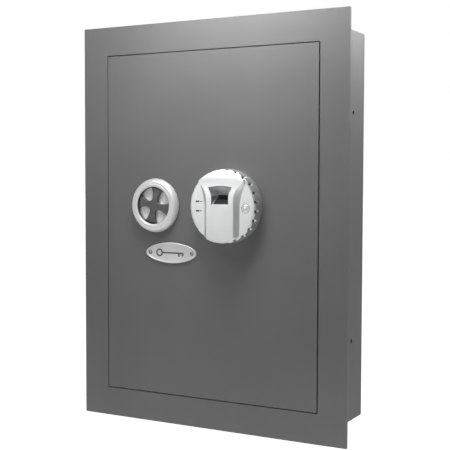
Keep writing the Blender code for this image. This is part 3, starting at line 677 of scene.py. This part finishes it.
def make_knob_body():
    """A dish with four scoops inside a wide ring, in one turned piece."""
    rings = []
    for k in range(1, DISH_RINGS + 1):
        outline = circle((DISH_R - 0.0001) * k / DISH_RINGS, KNOB_SEGMENTS)
        rings.append([at(KNOB_X + x, KNOB_Z + z, scoop_height(x, z)) for x, z in outline])
    for radius, height in KNOB_RIM:
        rings.append(loop_at(circle(radius, KNOB_SEGMENTS), KNOB_X, KNOB_Z, height))
    verts, faces = lofted(rings)
    centre = len(verts)
    verts.append(at(KNOB_X, KNOB_Z, scoop_height(0, 0)))
    # a fan to the dish's centre takes the place of the first loop's flat face
    faces[-2:-1] = [(centre, i, (i + 1) % KNOB_SEGMENTS) for i in range(KNOB_SEGMENTS)]
    add_piece("knob_body_turned", verts, faces, "satin_chrome", "knob", ["knob_body"], 50)


def arm_half_width(u):
    """Half the width of a grip arm at a distance u from the knob's centre."""
    if u <= ARM_START:
        return u
    if u < ARM_CORNER_END:
        return ARM_CORNER_END - math.sqrt(ARM_CORNER**2 - (ARM_CORNER_END - u) ** 2)
    outward = (u - ARM_CORNER_END) / (GRIP_R - ARM_CORNER_END)
    return ARM_HALF + ARM_FLARE * outward**ARM_FLARE_POWER


def grip_height(u, v, half):
    """Height of the domed grip: rounded along its edges and at the ends of its arms."""
    away = math.hypot(u, v)
    edge = GRIP_R - away
    if u > ARM_START:
        edge = min(edge, half - abs(v))
    dome = GRIP_TOP - GRIP_DROP * (away / GRIP_R) ** 2
    return dome - edge_drop(clamp(1 - edge / GRIP_ROUND), GRIP_ROUND)


def make_knob_grip():
    """A cross of four arms that widen towards the rim, domed on top."""
    verts = []
    faces = []
    for arm in range(4):
        turn = math.pi / 2 * arm - GRIP_LEAN
        grid = []
        for row in ARM_ROWS:
            half = arm_half_width(row)
            bend = max(0.0, (row - GRIP_R + ARM_BEND) / ARM_BEND)
            grid.append(range(len(verts), len(verts) + len(ARM_COLUMNS)))
            for column in ARM_COLUMNS:
                v = column * half
                u = row
                if bend:
                    u += (math.sqrt(max(0.0, row * row - v * v)) - row) * bend
                x = u * math.cos(turn) - v * math.sin(turn)
                z = u * math.sin(turn) + v * math.cos(turn)
                verts.append(at(KNOB_X + x, KNOB_Z + z, grip_height(u, v, half)))
        faces += grid_faces(grid)
    add_skirted_piece("knob_grip_cross", verts, faces, GRIP_BASE, "grey_plastic", "knob", ["knob_grip"], 50)


def make_grip_surround():
    """The liner of the dish's wall, and at the end of each arm a black piece that paints the shade in the
    gap there.
    """
    inner, outer = LINER
    low, high = LINER_HEIGHTS
    wall = [(outer, low), (outer, high), (inner, high), (inner, low), (outer, low)]
    verts, faces = lathe(wall, KNOB_X, KNOB_Z, 96)
    add_piece("knob_grip_liner", verts, faces, "grey_plastic", "knob")
    # black pieces of painted shade fill the gap at each arm's end
    inner, outer = ARM_END_SHADE
    reach = math.degrees(math.asin((ARM_HALF + ARM_FLARE) / GRIP_R))
    for arm in range(4):
        middle = 90 * arm - math.degrees(GRIP_LEAN)
        outline = arc((0, 0), outer, middle - reach, middle + reach, 10)
        outline += arc((0, 0), inner, middle + reach, middle - reach, 10)
        verts, faces = slab(outline, KNOB_X, KNOB_Z, *ARM_END_SHADE_HEIGHTS)
        add_piece("knob_grip_end_shade_%d" % (arm + 1), verts, faces, "black_plastic", "knob")


# ---------------------------------------------------------------- the fingerprint unit
# Across and up are measured from the unit's centre in this section.

FACE_R = 0.0455
FACE_H = 0.019
EDGE = 0.0010
# the raised hood: its height, and half its width at its foot and at its top
HOOD_H = 0.025
HOOD_FOOT = 0.0250
HOOD_TOP = 0.0190
HOOD_ROUND = 0.045
# above these heights up the face the foot and the top widen: start, span, gain and power
FOOT_FLARE = (-0.002, 0.033, 0.0073, 1.55)
TOP_FLARE = (0.0064, 0.0245, 0.0130, 2.3)
SLOPE_FROM = 0.0040
SLOPE_POWER = 2.6
# the finger slot: half its width low down and high up, and the heights between which it opens out
WINDOW_HALF = (0.0122, 0.0166)
WINDOW_FLARE = (0.0125, 0.0245)
WINDOW_LOW = 0.0002
WINDOW_TOP = 0.0260
WINDOW_ARCH = 0.0018
ARCH_SPAN = 0.003
RAMP_END = 0.0170
RAMP_FLOOR = 0.0029
RAMP_LEVEL = 0.0012
# from the lower edge down the ramp, and back out up the stepped wall: place up the face and height
WINDOW_STEPS = [
    (WINDOW_LOW, HOOD_H), (RAMP_END, RAMP_FLOOR), (RAMP_END + RAMP_LEVEL, RAMP_FLOOR), (0.0200, 0.0120),
    (0.0214, 0.0126), (0.0226, 0.0180), (0.0238, 0.0186), (WINDOW_TOP, HOOD_H),
]
# the recess that takes the sensor glass
GLASS_GAP = 0.0002
GLASS_LENGTH = 0.0115
GLASS_SINK = 0.0004
GLASS_HALF = (glass_high.x - glass_low.x) / 2 + GLASS_GAP
GLASS_HIGH = glass_high.z - UNIT_Z + GLASS_GAP
GLASS_LOW = GLASS_HIGH - GLASS_LENGTH
# two rows or columns this far either side of an edge keep it crisp
CRISP = 0.00001
# the cover's skirt: each step is drawn in by a factor from the one before, to a height
SKIRT_STEPS = [(0.998, FACE_H - 0.0016), (0.955, FACE_H - 0.0020), (0.955, 0.0005)]

NOTCHES = 24
NOTCH_COLUMNS = 16
NOTCH_DEPTH = 0.0024
NOTCH_HALF = 0.17
RING_INNER = 0.0436
# height, how far the ring tapers in there, and how much of the notches' depth shows
RING_LEVELS = [
    (0.0003, 0.0, 0.0), (0.0012, 0.0, 0.0), (0.0060, 0.0001, 0.0), (0.0085, 0.0002, 0.06),
    (0.0096, 0.0002, 0.35), (0.0104, 0.0003, 0.75), (0.0112, 0.0003, 0.95), (0.0122, 0.0003, 1.0),
    (0.0150, 0.0004, 1.0), (0.0168, 0.0005, 1.0), (0.0174, 0.0007, 1.0), (0.0178, 0.0012, 1.0),
]
# a black band inside the ring: painted shade, seen in the depth of the notches
NOTCH_SHADE_R = 0.0448
NOTCH_SHADE_HEIGHTS = (0.0080, 0.0174)

BUTTON_AT = (0.0335, -0.002)
BUTTON_PROFILE = [
    (0, 0.0198), (0.0012, 0.01977), (0.0024, 0.01965), (0.0036, 0.0194), (0.0045, 0.0190),
    (0.0051, 0.0184), (0.0054, 0.0176), (0.0054, 0.0135), (0, 0.0135),
]
# a dark ring round the button: painted shade for the gap between button and face
BUTTON_SHADE_RING = [(0.0053, 0.0180), (0.0053, 0.01903), (0.0058, 0.01905), (0.0058, 0.0180), (0.0053, 0.0180)]

# a light's window in steps of inset and height, its lens, and the plain mark beside it
LIGHT_STEPS = [(0, 0.0170), (0, FACE_H + 0.0001), (0.0003, FACE_H + 0.0003), (0.0007, FACE_H + 0.0004)]
LENS_PROFILE = [(0, FACE_H + 0.0007), (0.0005, FACE_H + 0.00065), (0.0009, FACE_H + 0.0003), (0, FACE_H)]
LENS_INSET = 0.0013
MARK = [(0.0006, -0.00045), (0.0040, -0.00045), (0.0040, 0.00045), (0.0006, 0.00045)]
MARK_HEIGHTS = (0.0185, FACE_H + 0.00006)


def flare(z, start, span, gain, power):
    return gain * (max(0.0, z - start) / span) ** power


def foot_line(z):
    """Half the hood's width at its foot."""
    return HOOD_FOOT + flare(z, *FOOT_FLARE)


def top_line(z):
    """Half the width of the hood's top. It opens out faster than the foot, so the side wall narrows."""
    return min(HOOD_TOP + flare(z, *TOP_FLARE), foot_line(z) - 0.0004)


def window_half(z):
    """Half the width of the finger slot, which opens out towards its top."""
    low, high = WINDOW_FLARE
    return WINDOW_HALF[0] + (WINDOW_HALF[1] - WINDOW_HALF[0]) * smooth((z - low) / (high - low))


def hood_height(x, z):
    """Height of the hood over the face, without its window."""
    rise = HOOD_H - FACE_H
    if z > SLOPE_FROM:
        rise *= max(0.0, 1 - ((z - SLOPE_FROM) / (FACE_R - SLOPE_FROM)) ** SLOPE_POWER)
    foot = foot_line(z)
    across = clamp((foot - abs(x)) / (foot - top_line(z)))
    return FACE_H + rise * clamp(across - HOOD_ROUND * math.sin(2 * math.pi * across))


def pocket_height(x, z):
    """The finger slot's floor: a ramp that runs down and in, then a stepped wall up to an arched edge."""
    z += WINDOW_ARCH * (x / WINDOW_HALF[1]) ** 2 * smooth((z - RAMP_END) / ARCH_SPAN)
    for (z0, h0), (z1, h1) in zip(WINDOW_STEPS, WINDOW_STEPS[1:]):
        if z <= z1:
            return h0 + (h1 - h0) * (z - z0) / (z1 - z0)
    return HOOD_H


def cover_height(x, z):
    height = hood_height(x, z)
    if abs(x) < window_half(z) and WINDOW_LOW < z < WINDOW_TOP:
        height = min(height, pocket_height(x, z))
    if abs(x) < GLASS_HALF and GLASS_LOW < z < GLASS_HIGH:
        height -= GLASS_SINK
    return height - edge_drop(clamp((math.hypot(x, z) - (FACE_R - EDGE)) / EDGE), EDGE)


def cover_rows():
    """Distances up the face at which the mesh has a row, closer together near its edges."""
    rows = [-FACE_R * math.cos(math.radians(a)) for a in (2, 5, 9, 13, 18, 24, 30, 36)]
    rows += spread(-FACE_R * math.cos(math.radians(42)), -0.002, 22)
    rows += [-0.002, -0.0008, -0.0001, WINDOW_LOW, 0.0010, 0.0018, GLASS_LOW - CRISP, GLASS_LOW + CRISP]
    rows += spread(GLASS_LOW + 0.001, GLASS_HIGH - CRISP, 9)
    rows += [GLASS_HIGH - CRISP, GLASS_HIGH + CRISP, 0.0160, RAMP_END, RAMP_END + RAMP_LEVEL]
    rows += [0.0191, 0.0200, 0.0207, 0.0214, 0.0220, 0.0226, 0.0232, 0.0238, 0.0243, 0.0248]
    rows += [0.0252, 0.0256, WINDOW_TOP, 0.0264]
    rows += spread(0.0272, FACE_R * math.cos(math.radians(24)), 14)
    rows += [FACE_R * math.cos(math.radians(a)) for a in (24, 21, 18, 15, 12, 9, 6, 3.5, 1.5)]
    return rows


def cover_columns(z):
    """Places across one row. They follow the hood's edges, so that those stay crisp."""
    chord = math.sqrt(FACE_R**2 - z**2)
    # each line keeps inside the next one, also on the short rows at the top and bottom
    foot = min(foot_line(z), chord - 0.0003)
    top = min(top_line(z), foot - 0.0002, chord * 0.96)
    wall = min(window_half(z), top * 0.9)
    glass = min(GLASS_HALF, wall * 0.7)
    rim = max(foot + 0.0001, math.sqrt(max(0.0, (FACE_R - EDGE) ** 2 - z**2)))
    half = spread(0.0, glass - CRISP, 5) + [glass - CRISP, glass + CRISP]
    half += spread(glass + 0.0006, wall - 0.00004, 4) + [wall - 0.00004, wall, wall + 0.0004]
    half += spread(wall + 0.0009, top, 3)
    half += [top + (foot - top) * t for t in (0.0, 0.06, 0.14, 0.25, 0.5, 0.75, 0.86, 0.94, 1.0)]
    half += [foot + (rim - foot) * t for t in (0.12, 0.3, 0.5, 0.75, 0.92)]
    half += [rim + (chord - rim) * t for t in (0.0, 0.35, 0.62, 0.82, 0.95, 1.0)]
    right = [min(x, chord) for x in half]
    return [-x for x in reversed(right[1:])] + right


def make_scanner_cover():
    """The unit's front: a disc with a raised hood and a finger slot that runs down into it."""
    verts = []
    grid = []
    for z in cover_rows():
        columns = cover_columns(z)
        grid.append(range(len(verts), len(verts) + len(columns)))
        verts += [at(UNIT_X + x, UNIT_Z + z, cover_height(x, z)) for x in columns]
    faces = grid_faces(grid)
    low_tip = len(verts)
    high_tip = low_tip + 1
    verts.append(at(UNIT_X, UNIT_Z - FACE_R, FACE_H))
    verts.append(at(UNIT_X, UNIT_Z + FACE_R, FACE_H - EDGE))
    for i in range(len(grid[0]) - 1):
        faces.append((low_tip, grid[0][i + 1], grid[0][i]))
        faces.append((high_tip, grid[-1][i], grid[-1][i + 1]))
    edge = [low_tip] + [row[-1] for row in grid] + [high_tip] + [row[0] for row in reversed(grid)]
    count = len(edge)
    for shrink, height in SKIRT_STEPS:
        skirt = range(len(verts), len(verts) + count)
        for index in edge:
            x = UNIT_X + (verts[index].x - UNIT_X) * shrink
            z = UNIT_Z + (verts[index].z - UNIT_Z) * shrink
            verts.append(at(x, z, height))
        for i in range(count):
            j = (i + 1) % count
            faces.append((edge[i], edge[j], skirt[j], skirt[i]))
        edge = skirt
    faces.append(tuple(edge))
    add_piece("scanner_cover_moulding", verts, faces, "silver_plastic", "door", ["scanner_cover"], 28)


def make_scanner_ring():
    """A ring with rounded notches in its front edge, which fade out towards the door, and a black band
    inside it that paints the shade seen in the notches.
    """
    columns = NOTCHES * NOTCH_COLUMNS
    bites = []
    for i in range(columns):
        across = abs((i % NOTCH_COLUMNS) / NOTCH_COLUMNS - 0.5) / NOTCH_HALF
        bites.append(NOTCH_DEPTH * math.sqrt(max(0.0, 1 - across * across)))
    rings = []
    for height, taper, share in RING_LEVELS:
        ring = []
        for i in range(columns):
            angle = 2 * math.pi * i / columns
            radius = RING_R - taper - bites[i] * share
            ring.append(at(UNIT_X + radius * math.cos(angle), UNIT_Z + radius * math.sin(angle), height))
        rings.append(ring)
    for height in (RING_LEVELS[-1][0], RING_LEVELS[0][0]):
        rings.append(loop_at(circle(RING_INNER, columns), UNIT_X, UNIT_Z, height))
    verts, faces = lofted(rings, closed=True)
    add_piece("scanner_ring_notched", verts, faces, "silver_plastic", "door", ["scanner_ring"], 40)
    # the black band paints the shade in the notches
    low, high = NOTCH_SHADE_HEIGHTS
    band = [(RING_INNER, low), (NOTCH_SHADE_R, low), (NOTCH_SHADE_R, high), (RING_INNER, high), (RING_INNER, low)]
    verts, faces = lathe(band, UNIT_X, UNIT_Z, 96)
    add_piece("scanner_ring_notch_shade", verts, faces, "black_plastic", "door")


def make_scan_button():
    """A domed button, ringed by a dark piece that paints the shade of the gap round it."""
    x = UNIT_X + BUTTON_AT[0]
    z = UNIT_Z + BUTTON_AT[1]
    verts, faces = lathe(BUTTON_PROFILE, x, z, 64)
    add_piece("scan_button_cap", verts, faces, "silver_plastic", "scan_button", ["scan_button"], 50)
    # the dark ring is painted shade of the gap round the button
    verts, faces = lathe(BUTTON_SHADE_RING, x, z, 64)
    add_piece("scan_button_shade_ring", verts, faces, "grey_plastic", "door")


def make_status_lights():
    """Two slim windows in the face. Each has a round lens at its left end and a mark on its right."""
    for node, look in (("status_light_ready", "green_lens"), ("status_light_alert", "red_lens")):
        low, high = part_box(node)
        x = (low.x + high.x) / 2
        z = (low.z + high.z) / 2
        half = (high.x - low.x) / 2
        outline = capsule(half, (high.z - low.z) / 2 + 0.0002)
        verts, faces = lofted([inset_loop(outline, inset, x, z, height) for inset, height in LIGHT_STEPS])
        add_piece(node + "_window", verts, faces, "grey_plastic", "door")
        verts, faces = slab(MARK, x + half, z, *MARK_HEIGHTS)
        add_piece(node + "_mark", verts, faces, "grey_plastic", "door")
        verts, faces = lathe(LENS_PROFILE, x - half + LENS_INSET, z, 24)
        add_piece(node + "_lens", verts, faces, look, "door", [node], 60)


# ---------------------------------------------------------------- the nameplate

PLATE_BACK = FRONT - plate_high.y
PLATE_FRONT = FRONT - plate_low.y
# the field inside the raised rim
FIELD = PLATE_FRONT - 0.0006
# inset and height, from the back over the rim to the field
PLATE_STEPS = [
    (0.0, PLATE_BACK), (0.0, PLATE_FRONT - 0.0008), (0.0003, PLATE_FRONT - 0.0003), (0.0008, PLATE_FRONT),
    (0.0014, PLATE_FRONT), (0.0018, PLATE_FRONT - 0.0002), (0.0021, PLATE_FRONT - 0.0005), (0.0026, FIELD),
]
# black discs under the screw heads: painted shade in the countersinks
COUNTERSINK_SHADE = [(0, FIELD + 0.0001), (0.0026, FIELD + 0.0001), (0.0026, FIELD - 0.0002), (0, FIELD - 0.0002)]
PLATE_SCREW = [
    (0, FIELD + 0.0009), (0.0008, FIELD + 0.00085), (0.0014, FIELD + 0.0006), (0.0018, FIELD + 0.0001),
    (0.0018, FIELD - 0.0002), (0.0010, FIELD - 0.0002), (0, PLATE_BACK),
]
# black bars in the screw heads: painted shade in their slots
SLOT_SHADE_HALF = (0.0013, 0.00035)
SLOT_SHADE_HEIGHTS = (FIELD + 0.00055, FIELD + 0.00095)

# the key sign: its bow's place across the plate, its radii, and its shank with two teeth
KEY_BOW_AT = -0.0176
KEY_BOW_R = 0.0052
KEY_HOLE_R = 0.0031
KEY_SEGMENTS = 40
KEY_SHANK = [
    (-0.0125, -0.0010), (0.0110, -0.0010), (0.0110, -0.0046), (0.0136, -0.0046), (0.0136, -0.0010),
    (0.0166, -0.0010), (0.0166, -0.0040), (0.0192, -0.0040), (0.0192, 0.0010), (-0.0125, 0.0010),
]
KEY_HEIGHTS = (FIELD - 0.0001, FIELD + 0.00012)

# the inner cover's screws: their inset from its edges, their head, and black bars that paint the shade in
# the cross recess of each head
COVER_SCREW_INSET = 0.010
COVER_SCREW = [
    (0, -0.0013), (0.0012, -0.00125), (0.0022, -0.0010), (0.0030, -0.0005),
    (0.0032, 0), (0.0032, 0.0004), (0, 0.0004),
]
CROSS_SHADE_HALF = (0.0014, 0.0003)
CROSS_SHADE_HEIGHTS = (-0.0009, -0.00136)


def make_nameplate():
    """A blank oval plate with a raised rim, a key sign and two slotted screws; black discs and bars paint
    the shade in their countersinks and slots.
    """
    half_w = (plate_high.x - plate_low.x) / 2
    half_h = (plate_high.z - plate_low.z) / 2
    loops = []
    for inset, height in PLATE_STEPS:
        loops.append(loop_at(oval(half_w - inset, half_h - inset), PLATE_X, PLATE_Z, height))
    verts, faces = lofted(loops)
    plate = add_piece("nameplate_oval", verts, faces, "satin_chrome", "door", ["nameplate"], 50)
    plate.data.materials[0] = brushed_plate()
    make_key_sign()
    for side in ("left", "right"):
        node = "nameplate_screw_" + side
        low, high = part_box(node)
        x = (low.x + high.x) / 2
        z = (low.z + high.z) / 2
        # a black disc paints the shade in the countersink round the head
        verts, faces = lathe(COUNTERSINK_SHADE, x, z, 40)
        add_piece(node + "_countersink_shade", verts, faces, "black_plastic", "door")
        verts, faces = lathe(PLATE_SCREW, x, z, 40)
        add_piece(node + "_head", verts, faces, "bare_steel", "door", [node], 50)
        # a black bar paints the shade in the head's slot
        verts, faces = slab(rectangle(*SLOT_SHADE_HALF), x, z, *SLOT_SHADE_HEIGHTS)
        add_piece(node + "_slot", verts, faces, "black_plastic", "door")


def make_key_sign():
    """A plain key drawn on the plate in dark enamel: a ring, a shank and two teeth."""
    bow = [(KEY_BOW_AT + u, v) for u, v in circle(KEY_BOW_R, KEY_SEGMENTS)]
    hole = [(KEY_BOW_AT + u, v) for u, v in circle(KEY_HOLE_R, KEY_SEGMENTS)]
    low, high = KEY_HEIGHTS
    loops = []
    for outline, height in ((hole, low), (bow, low), (bow, high), (hole, high)):
        loops.append(loop_at(outline, PLATE_X, PLATE_Z, height))
    verts, faces = lofted(loops, closed=True)
    add_piece("key_sign_ring", verts, faces, "grey_plastic", "door")
    verts, faces = slab(KEY_SHANK, PLATE_X, PLATE_Z, low, high)
    add_piece("key_sign_shank", verts, faces, "grey_plastic", "door")


def make_cover_screws():
    """Low domed screws that hold the inner cover to the rim behind the door, each with black bars that
    paint the shade of its cross recess.
    """
    low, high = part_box("inner_cover")
    back = FRONT - high.y
    head = [(radius, back + height) for radius, height in COVER_SCREW]
    cross = [back + height for height in CROSS_SHADE_HEIGHTS]
    heights_up = (low.z + COVER_SCREW_INSET, (low.z + high.z) / 2, high.z - COVER_SCREW_INSET)
    places = [(x, z) for x in (low.x + COVER_SCREW_INSET, high.x - COVER_SCREW_INSET) for z in heights_up]
    for number, (x, z) in enumerate(places, 1):
        name = "inner_cover_screw_%d" % number
        verts, faces = lathe(head, x, z, 32)
        add_piece(name, verts, faces, "zinc_steel", "door", (), 50)
        # black bars paint the shade in each head's cross recess
        for bar, half in enumerate((CROSS_SHADE_HALF, reversed(CROSS_SHADE_HALF)), 1):
            verts, faces = slab(rectangle(*half), x, z, *cross)
            add_piece("%s_cross_%d" % (name, bar), verts, faces, "black_plastic", "door")


# ---------------------------------------------------------------- the stage


def add_area(name, place, target, size, watts):
    data = bpy.data.lights.new(name, "AREA")
    data.shape = "RECTANGLE"
    data.size = size[0]
    data.size_y = size[1]
    data.energy = watts
    lamp = bpy.data.objects.new(name, data)
    bpy.context.scene.collection.objects.link(lamp)
    lamp.location = place
    lamp.rotation_euler = (Vector(target) - Vector(place)).to_track_quat("-Z", "Y").to_euler()


def larger(tree, first, second):
    """The larger of two values in a shader."""
    made = tree.nodes.new("ShaderNodeMath")
    made.operation = "MAXIMUM"
    tree.links.new(first, made.inputs[0])
    tree.links.new(second, made.inputs[1])
    return made.outputs["Value"]


def camera_ray(tree):
    """1 where the camera looks at a surface itself, and 0 for the light that it gives to others."""
    return tree.nodes.new("ShaderNodeLightPath").outputs["Is Camera Ray"]


def world_ramp(tree, coords, axis, span, values):
    """Strength that changes with how far a direction leans along an axis."""
    lean = tree.nodes.new("ShaderNodeVectorMath")
    lean.operation = "DOT_PRODUCT"
    lean.inputs[1].default_value = axis
    tree.links.new(coords.outputs["Generated"], lean.inputs[0])
    fade = tree.nodes.new("ShaderNodeMapRange")
    fade.interpolation_type = "SMOOTHSTEP"
    fade.inputs["From Min"].default_value = span[0]
    fade.inputs["From Max"].default_value = span[1]
    fade.inputs["To Min"].default_value = values[0]
    fade.inputs["To Max"].default_value = values[1]
    tree.links.new(lean.outputs["Value"], fade.inputs["Value"])
    return fade.outputs["Result"]


def make_world():
    """A bright studio behind the safe and a dim one in front. The camera sees plain white."""
    world = bpy.data.worlds.new("studio")
    bpy.context.scene.world = world
    world.use_nodes = True
    tree = world.node_tree
    backdrop = tree.nodes["Background"]
    backdrop.inputs["Color"].default_value = (1, 1, 1, 1)
    coords = tree.nodes.new("ShaderNodeTexCoord")
    behind = world_ramp(tree, coords, (0, 1, 0), BEHIND_SPAN, (0.0, WORLD_BEHIND))
    front = world_ramp(tree, coords, FRONT_GLOW_AXIS, FRONT_SPAN, WORLD_FRONT)
    strength = larger(tree, larger(tree, behind, front), camera_ray(tree))
    tree.links.new(strength, backdrop.inputs["Strength"])


def make_floor():
    """A white floor that glows behind the safe. The camera sees it plain."""
    floor_z = cad_box[0][2] - FLOOR_GAP
    mesh = bpy.data.meshes.new("studio_floor")
    corners = [(x, y, floor_z) for x, y in rectangle(FLOOR_HALF, FLOOR_HALF)]
    mesh.from_pydata(corners, [], [(0, 1, 2, 3)])
    floor = bpy.data.objects.new("studio_floor", mesh)
    bpy.context.scene.collection.objects.link(floor)
    look = Look("studio_floor")
    soft = look.noise(3, 2)
    look.color(look.tint(soft, (0.90, 0.90, 0.90), (0.93, 0.93, 0.93)))
    look.set(Roughness=0.9, Emission_Color=(1, 1, 1, 1))
    split = look.node("ShaderNodeSeparateXYZ")
    look.link(look.coords, split.inputs["Vector"])
    glow = look.ramp(split.outputs["Y"], *FLOOR_GLOW, *FLOOR_GLOW_SPAN)
    seen = look.ramp(camera_ray(look.tree), 0.0, FLOOR_SEEN, 0, 1)
    look.link(larger(look.tree, glow, seen), look.shader.inputs["Emission Strength"])
    mesh.materials.append(look.material)


def make_stage():
    bpy.context.scene.view_settings.view_transform = "Standard"
    make_world()
    make_floor()
    for lamp in LAMPS:
        add_area(*lamp)


# ---------------------------------------------------------------- put together

make_camera()
MATERIALS = make_materials()
for row in RECORD["subparts"]:
    NODES[row["node"]].data.materials.clear()
    NODES[row["node"]].data.materials.append(MATERIALS[row["material_slot"]])

make_knob_body()
make_knob_grip()
make_grip_surround()
make_scanner_cover()
make_scanner_ring()
make_scan_button()
make_status_lights()
make_nameplate()
make_cover_screws()

# the nodes that a piece above replaces are hidden by now
for row in RECORD["subparts"]:
    if not NODES[row["node"]].hide_render:
        soften(row["node"], EDGE_WIDTH.get(row["node"], OTHER_EDGE_WIDTH))

make_stage()
